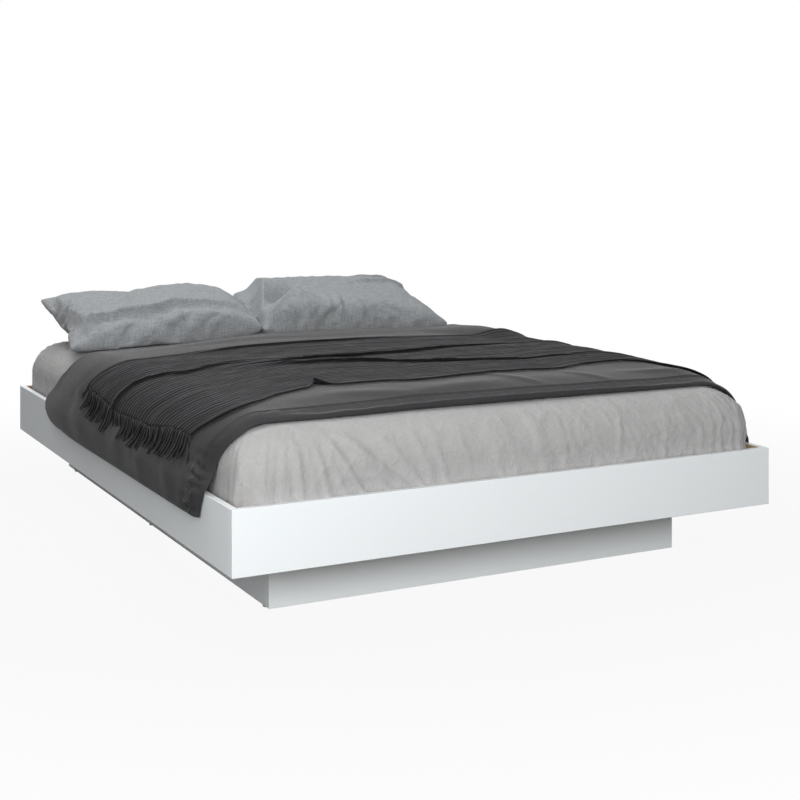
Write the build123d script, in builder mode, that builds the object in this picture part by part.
"""Platform bed for a full-size mattress, with its bedding.

A low frame of laminated board stands on a recessed plinth. The rails make a tray that holds the
mattress, pine slats carry it, and the joints are cam locks, dowels and steel angles.
X runs across the bed, Y from foot to head and Z up. The origin is on the floor under the middle.
All sizes are in millimetres.
"""

import os
from math import atan2, cos, hypot, pi, radians, sin

from build123d import *

os.makedirs("parts", exist_ok=True)

# Driving dimensions of the frame
bed_width = 1440.0
bed_length = 1950.0
rail_height = 142.0
rail_underside = 140.0
board = 16.0
edge_break = 0.8

# Plinth, set back from the rails above it
plinth_front_setback = 188.5
plinth_side_setback = 158.2
plinth_back_setback = 8.0
glide_height = 5.0
cross_count = 2

# Pine deck
deck_depth = 54.0
slat_thickness = 19.0
slat_width = 70.0
slat_count = 14
slat_end_gap = 6.0
slat_tip_gap = 2.0
slat_round = 2.5
ledger_thickness = 19.0
ledger_height = 38.0
ledger_round = 1.5

# Clearances
fit_gap = 0.3
slot_gap = 0.4
hole_gap = 0.1
soft_gap = 0.3
overrun = 5.0

# Joint hardware
dowel_radius = 4.0
dowel_length = 30.0
dowel_short_end = 11.0
dowel_end_gap = 1.0
dowel_pitch = 35.0
cam_radius = 7.3
cam_depth = 12.2
cam_setback = 24.0
cam_below_top = 30.0
cam_slot_width = 2.0
cam_slot_depth = 2.0
cam_hook_past_centre = 3.0
bolt_radius = 2.5
bolt_bore_radius = 4.0
bolt_thread_length = 10.5
bolt_head_radius = 3.4
bolt_head_length = 3.0
bolt_neck_radius = 1.8
bolt_neck_length = 5.0
bracket_leg = 32.0
bracket_height = 24.0
bracket_thickness = 2.0
bracket_lift = 3.0
bracket_hole_share = 0.6
screw_radius = 1.75
screw_head_radius = 3.6
screw_head_height = 2.0
screw_length = 12.0
wood_screw_radius = 2.0
wood_screw_head_radius = 4.0
wood_screw_head_height = 3.0
wood_screw_length = 30.0
ledger_screw_count = 7
cleat_screw_count = 4
ledger_screw_inset = 60.0
glide_radius = 7.5
glide_rim = 1.5
glide_front_inset = 37.0
glide_back_inset = 74.0
nail_radius = 1.2
nail_head_radius = 3.2
nail_head_height = 1.0
nail_length = 18.0

# Mattress and its fitted sheet
mattress_thickness = 203.0
mattress_side_gap = 11.5
mattress_end_gap = 7.0
mattress_corner_radius = 62.0
shoulder_radius = 96.0
shoulder_steps = 6
foot_tuck = 7.0
foot_tuck_height = 26.0
mattress_crown = 7.0
crown_reach = 300.0
crown_mid_share = 0.4
crown_mid_height_share = 0.62
corner_soften_share = 0.6
sheet_thickness = 1.0

# Duvet, laid across the bed and hanging outside both side rails
duvet_foot_setback = 103.0
duvet_head_setback = 513.0
duvet_hem_drop = 56.0
duvet_hem_thickness = 15.0
duvet_side_padding = 35.0
duvet_shoulder_foot = 23.0
duvet_shoulder_head = 31.0
duvet_crown_foot = 22.0
duvet_crown_head = 32.0
duvet_crown_rise = 13.0
duvet_standoff = 0.8
duvet_lip = 8.0
duvet_lip_share = 0.5
duvet_flare = 86.0
duvet_flare_height = 34.0
duvet_fold_depth = 7.0
duvet_end_share = 0.25
duvet_corner_share = 0.35
duvet_fold_shares = (0, 0.9, 0.1, 0.7, 0, 1, 0.2, 0.6, 0, 0.8, 0.1, 0)

# Throw, laid across the duvet, with a fringe at both short ends
throw_foot_setback = 428.0
throw_head_setback = 806.0
throw_thickness = 3.0
throw_fold_height = 9.0
throw_hem_angle = 24.0
throw_foot_skew = 236.0
throw_head_skew = 91.0
throw_foot_shares = ((-1.2, 0.88), (-1.0, 0.88), (-0.96, 1.0), (-0.87, 0.93), (-0.66, 0.39),
                     (-0.46, -0.1), (0.25, 0.03), (0.5, 0.2), (0.62, 0.0), (0.8, 0.03), (0.9, 0.12),
                     (1.0, 0.2), (1.2, 0.2))
throw_head_shares = ((1.2, 0.1), (1.0, 0.1), (-0.8, 0.0), (-0.9, 0.4), (-0.96, 1.0), (-1.0, 1.3),
                     (-1.2, 1.3))
throw_fold_shares = ((0, 0), (0.2, 0), (0.26, 0.7), (0.32, 0), (0.44, 0), (0.5, 1), (0.56, 0),
                     (0.74, 0), (0.8, 0.8), (0.86, 0), (1, 0))
tassel_length = 66.0
tassel_width = 9.0
tassel_thickness = 3.2
tassel_pitch = 16.0
tassel_gap = 0.5
tassel_bends = 5

# Pillows
pillow_width = 640.0
pillow_near_setback = 501.0
pillow_far_setback = 52.0
pillow_near_lift = 20.0
pillow_far_lift = 126.0
pillow_rise = 100.0
pillow_belly = 82.0
pillow_seam = 10.0
pillow_draw_in = 17.0
pillow_shares = ((-1, 0.07, 1.0), (-0.9, 0.42, 0.98), (-0.72, 0.78, 0.97), (-0.4, 0.96, 0.97),
                 (0, 1.0, 0.97), (0.4, 0.96, 0.97), (0.72, 0.78, 0.97), (0.9, 0.42, 0.98),
                 (1, 0.07, 1.0))
pillow_gap = 28.0
pillow_shift = -37.0

# Sizes that follow from the ones above
half_width = bed_width / 2
half_length = bed_length / 2
inner_x = half_width - board
inner_y = half_length - board
rail_top = rail_underside + rail_height
deck_top = rail_top - deck_depth
slat_underside = deck_top - slat_thickness
ledger_underside = slat_underside - ledger_height
ledger_middle_z = ledger_underside + ledger_height / 2
ledger_x = inner_x - ledger_thickness
bearer_height = slat_underside - rail_underside
plinth_front_y = plinth_front_setback - half_length
plinth_back_y = half_length - plinth_back_setback
plinth_x = half_width - plinth_side_setback
plinth_inner_x = plinth_x - board
plinth_joint_x = plinth_x - board / 2
plinth_height = rail_underside - glide_height
plinth_middle_z = glide_height + plinth_height / 2
front_bearer_y = plinth_front_y + board / 2
rear_bearer_y = inner_y - board / 2
bearer_pitch = (rear_bearer_y - front_bearer_y) / (cross_count + 1)
cross_ys = [front_bearer_y + bearer_pitch * (i + 1) for i in range(cross_count)]
bearer_ys = [front_bearer_y] + cross_ys + [rear_bearer_y]
rail_joint_x = half_width - board / 2
cam_z = rail_top - cam_below_top
hole_radius = dowel_radius + hole_gap
from_base = (Align.CENTER, Align.CENTER, Align.MIN)
sides = (-1, 1)
up, down = (0, 0, 1), (0, 0, -1)


def save(piece, name):
    """Label a finished piece and write its file."""
    piece.part.label = name
    export_step(piece.part, f"parts/{name}.step")


def evenly(low, high, count):
    """Places from low to high at one spacing."""
    return [low + (high - low) * i / (count - 1) for i in range(count)]


def span(a, b):
    """Two places in rising order."""
    return (a, b) if a < b else (b, a)


def moved(point, way, distance):
    """The point a distance along a way."""
    return tuple(p + w * distance for p, w in zip(point, way))


def spots(places):
    """Locations at (point, way) places, with their Z along the way."""
    return Locations(*[Plane(origin=point, z_dir=way).location for point, way in places])


def box_at(low, high, mode=Mode.ADD):
    """A box from its lowest to its highest corner."""
    with Locations(Location([(a + b) / 2 for a, b in zip(low, high)])):
        Box(*[b - a for a, b in zip(low, high)], mode=mode)


def bores(places, radius, depth):
    """Round blind holes from (point, way) places on a face, running into the piece."""
    if places:
        with spots(places):
            Cylinder(radius, depth, align=from_base, mode=Mode.SUBTRACT)


def pins(places, *stages):
    """Round pins from (point, way) places: stages of (radius, length) one after another."""
    start = 0
    for radius, length in stages:
        with spots([(moved(point, way, start), way) for point, way in places]):
            Cylinder(radius, length, align=from_base)
        start += length


# Steel angles: each is (x, y, z, dx, dy), an inner corner with the ways its two legs run
tray_angle_z = rail_underside + bracket_lift
plinth_angle_z = plinth_middle_z - bracket_height / 2
ledger_angle_z = ledger_middle_z - bracket_height / 2
corner_angles = [(sx * inner_x, -inner_y, tray_angle_z, -sx, 1) for sx in sides]
corner_angles += [(sx * inner_x, inner_y - board, tray_angle_z, -sx, -1) for sx in sides]
bearer_angles = [(sx * inner_x, y + board / 2, tray_angle_z, -sx, 1)
                 for sx in sides for y in bearer_ys[:-1]]
plinth_angles = [(sx * plinth_inner_x, y + board / 2, plinth_angle_z, -sx, 1)
                 for sx in sides for y in bearer_ys[:-1]]
plinth_angles += [(sx * plinth_inner_x, plinth_back_y - board, plinth_angle_z, -sx, -1) for sx in sides]
plinth_angles += [(board / 2, plinth_front_y + board, plinth_angle_z, 1, 1),
                  (board / 2, plinth_back_y - board, plinth_angle_z, 1, -1)]
centre_angles = [(board / 2, ledger_thickness - inner_y, ledger_angle_z, 1, 1),
                 (board / 2, inner_y - board, ledger_angle_z, 1, -1)]
all_angles = corner_angles + bearer_angles + plinth_angles + centre_angles


def angle_screws(angles):
    """Where each screw of the angles enters its board, and the way it runs."""
    reach = bracket_leg * bracket_hole_share
    places = []
    for x, y, z, dx, dy in angles:
        middle = z + bracket_height / 2
        places.append(((x, y + dy * reach, middle), (-dx, 0, 0)))
        places.append(((x + dx * reach, y, middle), (0, -dy, 0)))
    return places


def angle_pilots(low, high):
    """Pilot holes for the angle screws that enter the board between these two corners."""
    inside = [(point, way) for point, way in angle_screws(all_angles)
              if all(a <= tip <= b for a, tip, b in zip(low, moved(point, way, screw_length / 2), high))]
    bores(inside, screw_radius + hole_gap, screw_length + hole_gap)


# Places of the dowels, wood screws, slats and glides
rail_dowels = [((sx * rail_joint_x, sy * inner_y, slat_underside + dowel_pitch * step / 2), (0, sy, 0))
               for sx in sides for sy in sides for step in sides]
plinth_dowel_zs = [plinth_middle_z + dowel_pitch * step for step in sides]
front_dowels = [((sx * plinth_joint_x, plinth_front_y + board, z), (0, -1, 0))
                for sx in sides for z in plinth_dowel_zs]
back_dowels = [((sx * plinth_inner_x, plinth_back_y - board / 2, z), (sx, 0, 0))
               for sx in sides for z in plinth_dowel_zs]
bearer_dowels = [((sx * plinth_joint_x, y, rail_underside), down) for sx in sides for y in bearer_ys]
ledger_screw_end = inner_y - ledger_screw_inset
ledger_screws = [((sx * ledger_x, y, ledger_middle_z), (sx, 0, 0)) for sx in sides
                 for y in evenly(-ledger_screw_end, ledger_screw_end, ledger_screw_count)]
cleat_xs = evenly(ledger_screw_inset - ledger_x, ledger_x - ledger_screw_inset, cleat_screw_count)
cleat_screws = [((x, ledger_thickness - inner_y, ledger_middle_z), (0, -1, 0)) for x in cleat_xs]
rear_screws = [((x, inner_y - board, ledger_middle_z), (0, 1, 0)) for x in cleat_xs]
slat_middle_y = inner_y - slat_end_gap - slat_width / 2
slat_ys = evenly(-slat_middle_y, slat_middle_y, slat_count)
slat_screw_x = inner_x - ledger_thickness / 2
slat_screws = [((x, y, deck_top), down) for y in slat_ys for x in (-slat_screw_x, 0, slat_screw_x)]
glide_ys = (plinth_front_y + glide_front_inset, (plinth_front_y + plinth_back_y) / 2,
            plinth_back_y - glide_back_inset)
glide_places = [((x, y, 0), up) for x in (-plinth_joint_x, 0, plinth_joint_x) for y in glide_ys]


def on_side(places, sx):
    """The places that lie on one side of the bed."""
    return [(point, way) for point, way in places if point[0] * sx > 0]


def screw_bores(places):
    """Countersunk clearance holes that start at each wood screw's head."""
    if places:
        bores(places, wood_screw_radius + hole_gap, wood_screw_length)
        with spots(places):
            Cone(wood_screw_head_radius + hole_gap, wood_screw_radius + hole_gap, wood_screw_head_height,
                 align=from_base, mode=Mode.SUBTRACT)


def screw_pilots(places, cover):
    """Pilot holes for wood screws that have passed through a cover of this thickness."""
    bores([(moved(point, way, cover), way) for point, way in places], wood_screw_radius + hole_gap,
          wood_screw_length - cover + hole_gap)


def far_ends(places, depth):
    """Dowel holes in the board that a dowel enters against its way."""
    bores([(point, moved((0, 0, 0), way, -1)) for point, way in places], hole_radius, depth + dowel_end_gap)


def near_ends(places, depth):
    """Dowel holes in the board that a dowel enters along its way."""
    bores(places, hole_radius, depth + dowel_end_gap)


def end_rail(sy, screws, cover, name):
    """Foot or head rail: it runs the full width and covers the ends of the side rails."""
    y_low, y_high = span(sy * inner_y, sy * half_length)
    low, high = (-half_width, y_low, rail_underside), (half_width, y_high, rail_top)
    with BuildPart() as rail:
        box_at(low, high)
        chamfer(edges(), length=edge_break)
        near_ends([(p, way) for p, way in rail_dowels if way[1] == sy], dowel_short_end)
        bores([((sx * rail_joint_x, sy * inner_y, cam_z), (0, sy, 0)) for sx in sides],
              bolt_radius + hole_gap, bolt_thread_length + hole_gap)
        screw_pilots(screws, cover)
        angle_pilots(low, high)
    save(rail, name)


def side_rail(sx, name):
    """Side rail, bored at both ends for a cam bolt and two dowels."""
    x_low, x_high = span(sx * inner_x, sx * half_width)
    low, high = (x_low, -inner_y, rail_underside), (x_high, inner_y, rail_top)
    with BuildPart() as rail:
        box_at(low, high)
        chamfer(edges(), length=edge_break)
        far_ends(on_side(rail_dowels, sx), dowel_length - dowel_short_end)
        bores([((sx * rail_joint_x, sy * inner_y, cam_z), (0, -sy, 0)) for sy in sides],
              bolt_bore_radius, cam_setback)
        bores([((sx * inner_x, sy * (inner_y - cam_setback), cam_z), (sx, 0, 0)) for sy in sides],
              cam_radius + hole_gap, cam_depth + hole_gap)
        screw_pilots(on_side(ledger_screws, sx), ledger_thickness)
        angle_pilots(low, high)
    save(rail, name)


end_rail(-1, cleat_screws, ledger_thickness, "foot_rail")
end_rail(1, rear_screws, board, "head_rail")
side_rail(-1, "left_side_rail")
side_rail(1, "right_side_rail")


def side_ledger(sx, name):
    """Pine ledger screwed along the inside of a side rail, under the slats."""
    x_low, x_high = span(sx * ledger_x, sx * inner_x)
    with BuildPart() as ledger:
        box_at((x_low, fit_gap - inner_y, ledger_underside), (x_high, inner_y - fit_gap, slat_underside))
        fillet(edges().filter_by(Axis.Y), radius=ledger_round)
        screw_bores(on_side(ledger_screws, sx))
        screw_pilots(on_side(slat_screws, sx), slat_thickness)
    save(ledger, name)


side_ledger(-1, "left_ledger")
side_ledger(1, "right_ledger")

with BuildPart() as foot_cleat:
    cleat_low = (fit_gap - ledger_x, -inner_y, ledger_underside)
    cleat_high = (ledger_x - fit_gap, ledger_thickness - inner_y, slat_underside)
    box_at(cleat_low, cleat_high)
    fillet(edges().filter_by(Axis.X), radius=ledger_round)
    screw_bores(cleat_screws)
    angle_pilots(cleat_low, cleat_high)
save(foot_cleat, "foot_cleat")


def cross_bearer(y, name, lapped):
    """Board on edge across the tray, notched round the ledgers and halved with the centre bearer."""
    low = (fit_gap - inner_x, y - board / 2, rail_underside)
    high = (inner_x - fit_gap, y + board / 2, slat_underside)
    with BuildPart() as bearer:
        box_at(low, high)
        for sx in sides:
            x_low, x_high = span(sx * (ledger_x - slot_gap), sx * (inner_x + overrun))
            box_at((x_low, y - board, ledger_underside - slot_gap),
                   (x_high, y + board, slat_underside + overrun), Mode.SUBTRACT)
        if lapped:
            box_at((-board / 2 - slot_gap, y - board, rail_underside + bearer_height / 2 - slot_gap),
                   (board / 2 + slot_gap, y + board, slat_underside + overrun), Mode.SUBTRACT)
        else:
            screw_bores(rear_screws)
        far_ends([(point, way) for point, way in bearer_dowels if point[1] == y], dowel_length / 2)
        angle_pilots(low, high)
    save(bearer, name)


cross_bearer(front_bearer_y, "front_bearer", lapped=True)
for number, cross_y in enumerate(cross_ys, start=1):
    cross_bearer(cross_y, f"middle_bearer_{number}", lapped=True)
cross_bearer(rear_bearer_y, "rear_bearer", lapped=False)

with BuildPart() as centre_bearer:
    centre_low = (-board / 2, ledger_thickness + fit_gap - inner_y, rail_underside)
    centre_high = (board / 2, inner_y - board - fit_gap, slat_underside)
    box_at(centre_low, centre_high)
    for lap_y in bearer_ys[:-1]:
        box_at((-board, lap_y - board / 2 - slot_gap, rail_underside - overrun),
               (board, lap_y + board / 2 + slot_gap, rail_underside + bearer_height / 2 + slot_gap),
               Mode.SUBTRACT)
    screw_pilots([(point, way) for point, way in slat_screws if point[0] == 0], slat_thickness)
    angle_pilots(centre_low, centre_high)
save(centre_bearer, "centre_bearer")

# Pine slats, each held by three screws
for number, slat_y in enumerate(slat_ys, start=1):
    with BuildPart() as slat:
        box_at((slat_tip_gap - inner_x, slat_y - slat_width / 2, slat_underside),
               (inner_x - slat_tip_gap, slat_y + slat_width / 2, deck_top))
        fillet(edges().filter_by(Axis.X), radius=slat_round)
        screw_bores([(point, way) for point, way in slat_screws if point[1] == slat_y])
    save(slat, f"slat_{number:02d}")

with BuildPart() as plinth_front:
    front_low = (-plinth_x, plinth_front_y, glide_height)
    front_high = (plinth_x, plinth_front_y + board, rail_underside)
    box_at(front_low, front_high)
    chamfer(edges(), length=edge_break)
    near_ends(front_dowels, dowel_short_end)
    near_ends([(p, way) for p, way in bearer_dowels if p[1] == front_bearer_y], dowel_length / 2)
    angle_pilots(front_low, front_high)
save(plinth_front, "plinth_front")

with BuildPart() as plinth_back:
    back_low = (fit_gap - plinth_inner_x, plinth_back_y - board, glide_height)
    back_high = (plinth_inner_x - fit_gap, plinth_back_y, rail_underside)
    box_at(back_low, back_high)
    chamfer(edges(), length=edge_break)
    far_ends(back_dowels, dowel_length - dowel_short_end)
    angle_pilots(back_low, back_high)
save(plinth_back, "plinth_back")


def nail_bores(places):
    """Holes for the glides' nails, up into the underside of a plinth board."""
    bores([(moved(point, way, glide_height), way) for point, way in places],
          nail_radius + hole_gap, nail_length)


def plinth_side(sx, name):
    """Long plinth board; its front end butts against the front board."""
    x_low, x_high = span(sx * plinth_inner_x, sx * plinth_x)
    low = (x_low, plinth_front_y + board + fit_gap, glide_height)
    high = (x_high, plinth_back_y, rail_underside)
    with BuildPart() as side:
        box_at(low, high)
        chamfer(edges(), length=edge_break)
        far_ends(on_side(front_dowels, sx), dowel_length - dowel_short_end)
        near_ends(on_side(back_dowels, sx), dowel_short_end)
        near_ends([(p, way) for p, way in on_side(bearer_dowels, sx) if p[1] != front_bearer_y],
                  dowel_length / 2)
        nail_bores(on_side(glide_places, sx))
        angle_pilots(low, high)
    save(side, name)


plinth_side(-1, "plinth_left_side")
plinth_side(1, "plinth_right_side")

for number, cross_y in enumerate(cross_ys, start=1):
    with BuildPart() as plinth_cross:
        cross_low = (fit_gap - plinth_inner_x, cross_y - board / 2, glide_height)
        cross_high = (plinth_inner_x - fit_gap, cross_y + board / 2, rail_underside)
        box_at(cross_low, cross_high)
        box_at((-board / 2 - slot_gap, cross_y - board, plinth_middle_z - slot_gap),
               (board / 2 + slot_gap, cross_y + board, rail_underside + overrun), Mode.SUBTRACT)
        angle_pilots(cross_low, cross_high)
    save(plinth_cross, f"plinth_cross_{number}")

with BuildPart() as plinth_centre:
    keel_low = (-board / 2, plinth_front_y + board + fit_gap, glide_height)
    keel_high = (board / 2, plinth_back_y - board - fit_gap, rail_underside)
    box_at(keel_low, keel_high)
    for cross_y in cross_ys:
        box_at((-board, cross_y - board / 2 - slot_gap, glide_height - overrun),
               (board, cross_y + board / 2 + slot_gap, plinth_middle_z + slot_gap), Mode.SUBTRACT)
    nail_bores([(point, way) for point, way in glide_places if point[0] == 0])
    angle_pilots(keel_low, keel_high)
save(plinth_centre, "plinth_centre")


def angle_set(angles, name):
    """Pressed steel angles, each with one screw hole in each leg."""
    with BuildPart() as brackets:
        for x, y, z, dx, dy in angles:
            for width, depth in ((bracket_thickness, bracket_leg), (bracket_leg, bracket_thickness)):
                x_low, x_high = span(x, x + dx * width)
                y_low, y_high = span(y, y + dy * depth)
                box_at((x_low, y_low, z), (x_high, y_high, z + bracket_height))
        bores([(moved(point, way, -overrun), way) for point, way in angle_screws(angles)],
              screw_radius + hole_gap, 2 * overrun)
    save(brackets, name)


angle_set(corner_angles, "corner_brackets")
angle_set(bearer_angles, "bearer_brackets")
angle_set(plinth_angles, "plinth_brackets")
angle_set(centre_angles, "centre_brackets")

with BuildPart() as bracket_screws:
    head_stand = bracket_thickness + screw_head_height
    pins([(moved(point, way, -head_stand), way) for point, way in angle_screws(all_angles)],
         (screw_head_radius, screw_head_height), (screw_radius, screw_length + bracket_thickness))
save(bracket_screws, "bracket_screws")


def wood_screws(places, name):
    """Countersunk wood screws, head flush with the face they start from."""
    with BuildPart() as group:
        with spots(places):
            Cone(wood_screw_head_radius, wood_screw_radius, wood_screw_head_height, align=from_base)
        with spots(places):
            Cylinder(wood_screw_radius, wood_screw_length, align=from_base)
    save(group, name)


wood_screws(ledger_screws + cleat_screws + rear_screws, "ledger_screws")
wood_screws(slat_screws, "slat_screws")


def dowel_group(places, depth, name):
    """Beech dowels that reach this depth along their way from the joint face."""
    with BuildPart() as dowels:
        pins([(moved(point, way, depth - dowel_length), way) for point, way in places],
             (dowel_radius, dowel_length))
    save(dowels, name)


dowel_group(rail_dowels, dowel_short_end, "rail_dowels")
dowel_group(front_dowels + back_dowels, dowel_short_end, "plinth_dowels")
dowel_group(bearer_dowels, dowel_length / 2, "bearer_dowels")

# Cam locks: a round cam in each side rail draws a bolt from the end rail
cams = [((sx * inner_x, sy * (inner_y - cam_setback), cam_z), (sx, 0, 0)) for sx in sides for sy in sides]
with BuildPart() as cam_locks:
    pins(cams, (cam_radius, cam_depth))
    bores([((sx * rail_joint_x, sy * inner_y, cam_z), (0, -sy, 0)) for sx in sides for sy in sides],
          bolt_bore_radius, cam_setback + cam_hook_past_centre)
    for (cam_x, cam_y, middle), way in cams:
        box_at((cam_x - cam_slot_depth, cam_y - cam_slot_width / 2, middle - cam_radius),
               (cam_x + cam_slot_depth, cam_y + cam_slot_width / 2, middle + cam_radius), Mode.SUBTRACT)
save(cam_locks, "cam_locks")

with BuildPart() as cam_bolts:
    bolt_reach = bolt_thread_length + cam_setback + cam_hook_past_centre - hole_gap
    pins([((sx * rail_joint_x, sy * (inner_y + bolt_thread_length), cam_z), (0, -sy, 0))
          for sx in sides for sy in sides],
         (bolt_radius, bolt_reach - bolt_neck_length - bolt_head_length),
         (bolt_neck_radius, bolt_neck_length), (bolt_head_radius, bolt_head_length))
save(cam_bolts, "cam_bolts")

# Nail-on glides under the plinth, each with its nail in a recess
with BuildPart() as glides:
    with spots(glide_places):
        Cone(glide_radius - glide_rim, glide_radius, glide_rim, align=from_base)
    pins([(moved(point, up, glide_rim), up) for point, way in glide_places],
         (glide_radius, glide_height - glide_rim))
    bores(glide_places, nail_radius + hole_gap, glide_height)
    bores(glide_places, nail_head_radius + hole_gap, 2 * nail_head_height)
save(glides, "glides")

with BuildPart() as glide_nails:
    pins([(moved(point, up, nail_head_height), up) for point, way in glide_places],
         (nail_head_radius, nail_head_height), (nail_radius, nail_length))
save(glide_nails, "glide_nails")

# Mattress and fitted sheet: rounded rectangles stacked from the deck to the crown
mattress_x = inner_x - mattress_side_gap
mattress_y = inner_y - mattress_end_gap
mattress_bottom = deck_top + soft_gap
mattress_top = deck_top + mattress_thickness
sheet_skin = soft_gap + sheet_thickness
sheet_x = mattress_x + sheet_skin
sheet_top = mattress_top + sheet_skin


def mattress_body(skin, bottom):
    """The mattress grown outwards by a skin, as one body stacked up from a bottom height."""
    levels = [(bottom, foot_tuck), (mattress_bottom + foot_tuck_height, 0)]
    for angle in evenly(0, pi / 2, shoulder_steps + 1):
        levels.append((mattress_top - shoulder_radius * (1 - sin(angle)) + skin * sin(angle),
                       shoulder_radius * (1 - cos(angle))))
    levels.append((mattress_top + skin + mattress_crown * crown_mid_height_share,
                   shoulder_radius + crown_reach * crown_mid_share))
    levels.append((mattress_top + skin + mattress_crown, shoulder_radius + crown_reach))
    with BuildPart() as body:
        for height, inset in levels:
            soften = 1 - corner_soften_share * inset / (shoulder_radius + crown_reach)
            with BuildSketch(Plane.XY.offset(height)):
                RectangleRounded(2 * (mattress_x + skin - inset), 2 * (mattress_y + skin - inset),
                                 mattress_corner_radius * soften)
        loft(ruled=True)
    return body


mattress = mattress_body(0, mattress_bottom)
save(mattress, "mattress")

with BuildPart() as fitted_sheet:
    add(mattress_body(sheet_skin, mattress_bottom).part)
    add(mattress_body(soft_gap, mattress_bottom - overrun).part, mode=Mode.SUBTRACT)
save(fitted_sheet, "fitted_sheet")

# Duvet: a padded band over the mattress, lofted from foot to head
duvet_foot = duvet_foot_setback - half_length
duvet_head = half_length - duvet_head_setback
duvet_last = duvet_head + duvet_flare
duvet_hem_z = rail_top - duvet_hem_drop
shoulder_z = mattress_top - shoulder_radius
shoulder_x = sheet_x - shoulder_radius


def duvet_outside(y, skin=0.0, push=0.0):
    """Right half of the duvet's outer line: hem, side, shoulder start, its middle and end, crown."""
    way = (y - duvet_foot) / (duvet_head - duvet_foot)
    padding = duvet_shoulder_foot + (duvet_shoulder_head - duvet_shoulder_foot) * way
    crown = duvet_crown_foot + (duvet_crown_head - duvet_crown_foot) * way
    wide = half_width + duvet_standoff + duvet_hem_thickness + skin
    reach = shoulder_radius + duvet_standoff + duvet_side_padding + skin
    rise = shoulder_radius + sheet_skin + duvet_standoff + padding + skin
    middle = (reach + rise) / 2
    return [(wide + push, duvet_hem_z), (wide + push * duvet_lip_share, rail_top + duvet_lip),
            (shoulder_x + reach, shoulder_z),
            (shoulder_x + middle * cos(pi / 4), shoulder_z + middle * sin(pi / 4)),
            (shoulder_x, shoulder_z + rise),
            (0, sheet_top + duvet_standoff + crown + duvet_crown_rise + skin)]


def duvet_inside(push=0.0):
    """Right half of the duvet's inner line, close over the rail and the fitted sheet."""
    wide = half_width + duvet_standoff
    radius = shoulder_radius + sheet_skin + duvet_standoff
    return [(wide + push, duvet_hem_z), (wide + push * duvet_lip_share, rail_top + duvet_lip),
            (shoulder_x + radius, shoulder_z),
            (shoulder_x + radius * cos(pi / 4), shoulder_z + radius * sin(pi / 4)),
            (shoulder_x, shoulder_z + radius),
            (0, sheet_top + duvet_standoff + duvet_crown_rise)]


def blended(line, other, share):
    """A line drawn part of the way towards another."""
    return [tuple(a + (b - a) * share for a, b in zip(p, q)) for p, q in zip(line, other)]


def mirrored(line):
    """The same points on the left side, in the opposite order."""
    return [(-x, z) for x, z in reversed(line)]


def band_section(y, outer, inner):
    """Closed section of a draped band in the plane at y, from half lines of its two faces."""
    with BuildSketch(Plane(origin=(0, y, 0), x_dir=(1, 0, 0), z_dir=(0, -1, 0))) as section:
        with BuildLine():
            for line in (outer, inner):
                for half in (line, [(-x, z) for x, z in line]):
                    for start, end in zip(half[:-4], half[1:-3]):
                        Line(start, end)
                    ThreePointArc(*half[-4:-1])
                ThreePointArc(line[-2], line[-1], mirrored(line)[1])
            Line(outer[0], inner[0])
            Line(mirrored(outer)[-1], mirrored(inner)[-1])
        make_face()
    return section.sketch.face()


with BuildPart() as duvet:
    bands = []
    stations = evenly(duvet_foot + duvet_hem_thickness / 2, duvet_last, len(duvet_fold_shares))
    for station, share in zip(stations, duvet_fold_shares):
        bands.append(band_section(station, duvet_outside(station, push=share * duvet_fold_depth),
                                  duvet_inside(share * duvet_fold_depth)))
    foot_outer, foot_inner = duvet_outside(duvet_foot), duvet_inside()
    bands.insert(0, band_section(duvet_foot, blended(foot_outer, foot_inner, duvet_end_share),
                                 blended(foot_inner, foot_outer, duvet_end_share)))
    loft(sections=bands, ruled=True)
    flare_low = rail_top + duvet_flare_height
    flare_high = sheet_top - duvet_flare_height
    corner = duvet_hem_drop * duvet_corner_share
    with BuildSketch(Plane.YZ.offset(-bed_width)):
        with BuildLine():
            Polyline((duvet_last + overrun, flare_low), (duvet_last, flare_low), (duvet_head, flare_high),
                     (duvet_head, bed_width), (duvet_last + overrun, bed_width), close=True)
        make_face()
        with BuildLine():
            Polyline((duvet_last + overrun, duvet_hem_z - overrun),
                     (duvet_last - duvet_hem_drop, duvet_hem_z - overrun),
                     (duvet_last - duvet_hem_drop, duvet_hem_z), (duvet_last - corner, duvet_hem_z + corner),
                     (duvet_last, rail_top), (duvet_last + overrun, rail_top), close=True)
        make_face()
    extrude(amount=2 * bed_width, mode=Mode.SUBTRACT)
save(duvet, "duvet")

# Throw: a thin band on top of the duvet, with raised folds that run across the bed
throw_foot = throw_foot_setback - half_length
throw_head = half_length - throw_head_setback
throw_low = throw_foot - throw_foot_skew - overrun
throw_high = throw_head + overrun
hem_angle = radians(throw_hem_angle)


def shoulder_point(line, angle):
    """Point of an outer line's shoulder at an angle above level."""
    reach, rise = line[2][0] - shoulder_x, line[4][1] - shoulder_z
    radius = reach + (rise - reach) * angle / (pi / 2)
    return shoulder_x + radius * cos(angle), shoulder_z + radius * sin(angle)


def throw_line(y, skin):
    """The duvet's outer line grown by a skin and cut short at the throw's hem."""
    line = duvet_outside(y, skin=skin)
    return [shoulder_point(line, hem_angle), shoulder_point(line, (hem_angle + pi / 2) / 2)] + line[4:]


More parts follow.
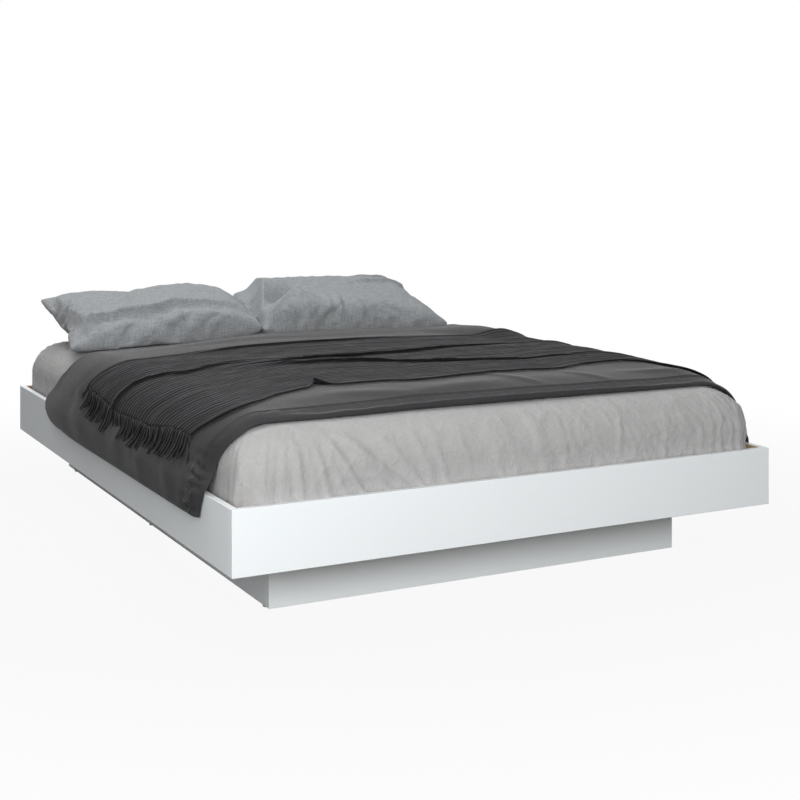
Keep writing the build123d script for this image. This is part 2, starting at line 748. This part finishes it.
with BuildPart() as throw:
    bands = []
    rest = soft_gap + duvet_standoff
    for way, height in throw_fold_shares:
        station = throw_low + (throw_high - throw_low) * way
        cover = rest + throw_thickness + height * throw_fold_height
        bands.append(band_section(station, throw_line(station, cover), throw_line(station, rest)))
    loft(sections=bands, ruled=True)
    with BuildSketch():
        with BuildLine():
            foot_edge = [(x * half_width, throw_foot - y * throw_foot_skew) for x, y in throw_foot_shares]
            head_edge = [(x * half_width, throw_head - y * throw_head_skew) for x, y in throw_head_shares]
            Polyline(*foot_edge, *head_edge, close=True)
        make_face()
    extrude(amount=bed_width, mode=Mode.INTERSECT)
save(throw, "throw")


def fringe(sx, foot_share, head_share, name):
    """Yarn tassels that hang from a short end of the throw, down the side of the duvet."""
    first = throw_foot - foot_share * throw_foot_skew + tassel_pitch / 2
    last = throw_head - head_share * throw_head_skew - tassel_pitch / 2
    with BuildPart() as tassels:
        for y in evenly(first, last, 1 + round((last - first) / tassel_pitch)):
            line = duvet_outside(y, skin=soft_gap + duvet_standoff + tassel_gap, push=duvet_fold_depth)
            path = [shoulder_point(line, angle) for angle in evenly(hem_angle, 0, tassel_bends)]
            path[0] = moved(path[0], (sin(hem_angle), -cos(hem_angle)), tassel_gap)
            hang = (tassel_length - path[0][1] + path[-1][1]) / (path[-1][1] - line[1][1])
            path.append((path[-1][0] + (line[1][0] - path[-1][0]) * hang, path[0][1] - tassel_length))
            side_plane = Plane(origin=(0, y - tassel_width / 2, 0), x_dir=(sx, 0, 0), z_dir=(0, -sx, 0))
            with BuildSketch(side_plane):
                with BuildLine():
                    Polyline(*path, *[(x + tassel_thickness, z) for x, z in reversed(path)], close=True)
                make_face()
        extrude(amount=-sx * tassel_width)
    save(tassels, name)


fringe(-1, throw_foot_shares[0][1], throw_head_shares[-1][1], "left_fringe")
fringe(1, throw_foot_shares[-1][1], throw_head_shares[0][1], "right_fringe")


def pillow(middle_x, name):
    """Plump pillow in its case: lens sections, sides drawn in, flat where it rests."""
    near = (half_length - pillow_near_setback, sheet_top + pillow_near_lift)
    far = (half_length - pillow_far_setback, sheet_top + pillow_far_lift)
    depth = hypot(near[0] - far[0], near[1] - far[1])
    tilt = atan2(far[1] - near[1], far[0] - near[0])
    middle = ((near[0] + far[0]) / 2, (near[1] + far[1]) / 2)
    seam = pillow_seam / 2
    lenses = []
    for place, thick, deep in pillow_shares:
        half = deep * depth / 2
        origin = (middle_x + place * pillow_width / 2, *middle)
        with BuildSketch(Plane(origin=origin, x_dir=(0, cos(tilt), sin(tilt)), z_dir=(1, 0, 0))) as lens:
            with BuildLine():
                ThreePointArc((-half, seam), (0, seam + pillow_rise * thick), (half, seam))
                Line((half, seam), (half, -seam))
                ThreePointArc((half, -seam), (0, -seam - pillow_belly * thick), (-half, -seam))
                Line((-half, -seam), (-half, seam))
            make_face()
        lenses.append(lens.sketch.face())
    wide, deep = pillow_width / 2, depth / 2
    outline_plane = Plane(origin=(middle_x, *middle), x_dir=(1, 0, 0), z_dir=(0, -sin(tilt), cos(tilt)))
    with BuildPart() as case:
        loft(sections=lenses)
        with BuildSketch(outline_plane):
            with BuildLine():
                ThreePointArc((-wide, -deep), (0, pillow_draw_in - deep), (wide, -deep))
                ThreePointArc((wide, -deep), (wide - pillow_draw_in, 0), (wide, deep))
                ThreePointArc((wide, deep), (0, deep - pillow_draw_in), (-wide, deep))
                ThreePointArc((-wide, deep), (pillow_draw_in - wide, 0), (-wide, -deep))
            make_face()
        extrude(amount=pillow_width, both=True, mode=Mode.INTERSECT)
        rest_z = sheet_top + mattress_crown + soft_gap
        box_at((middle_x - pillow_width, middle[0] - pillow_width, rest_z - pillow_width),
               (middle_x + pillow_width, middle[0] + pillow_width, rest_z), Mode.SUBTRACT)
    save(case, name)


pillow_pitch = pillow_width + pillow_gap
pillow(pillow_shift - pillow_pitch / 2, "left_pillow")
pillow(pillow_shift + pillow_pitch / 2, "right_pillow")
